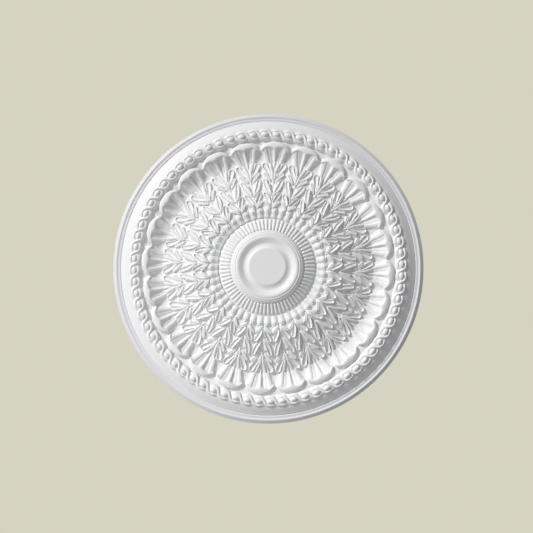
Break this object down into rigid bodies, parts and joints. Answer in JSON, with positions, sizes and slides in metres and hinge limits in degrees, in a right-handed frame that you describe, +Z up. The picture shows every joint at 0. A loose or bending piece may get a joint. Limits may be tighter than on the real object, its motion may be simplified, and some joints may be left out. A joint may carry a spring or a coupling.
{
  "type": "ceiling rose",
  "caption": "Round white ceiling rose with a ring of pearls in a running scroll, lobed shells, curled acanthus leaves and a reeded, dished hub around a flat centre.",
  "frame": {"origin": "centre of the flat back, on the ceiling plane", "axes": "+Z up into the ceiling along the rose's axis, the ornament faces -Z, and +X runs along the middle vein of one leaf"},
  "size_m": [0.61, 0.61, 0.0438],
  "materials": {
    "primed_casting": "matte white primer on a moulded foam casting"
  },
  "bodies": {
    "root": {"ceiling_rose": "primed_casting"}
  },
  "joints": []
}
